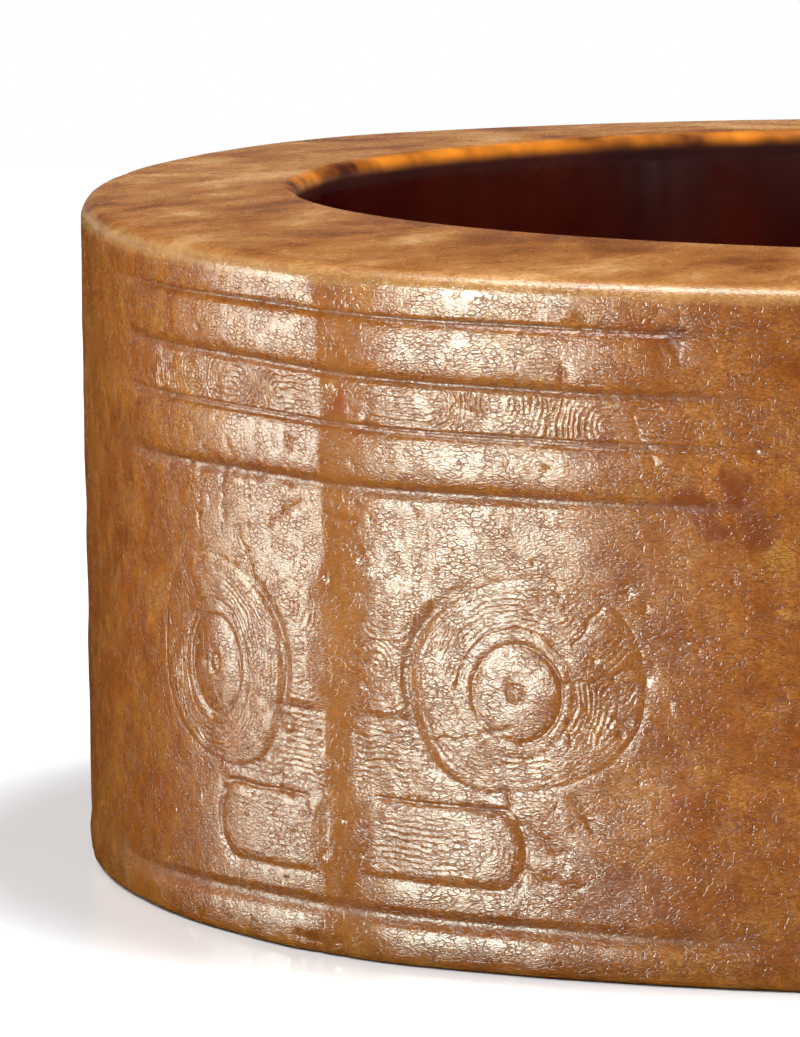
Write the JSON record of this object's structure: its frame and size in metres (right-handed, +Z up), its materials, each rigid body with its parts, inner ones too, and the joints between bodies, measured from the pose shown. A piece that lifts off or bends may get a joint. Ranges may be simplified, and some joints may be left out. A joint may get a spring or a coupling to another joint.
{
  "type": "jade cong",
  "caption": "Low bracelet-like jade cong: a bored block with bowed faces, blunt corners, grooved collars and a carved mask astride each corner.",
  "frame": {"origin": "on the bore's axis, at the flat underside", "axes": "+Z up along the bore; -Y out of the middle of the front face; -X out of the middle of the left face, so that the corner with the front mask points along (-X, -Y)"},
  "size_m": [0.101, 0.101, 0.035],
  "materials": {
    "polished_jade": "polished"
  },
  "bodies": {
    "root": {"cong": "polished_jade"}
  },
  "joints": []
}
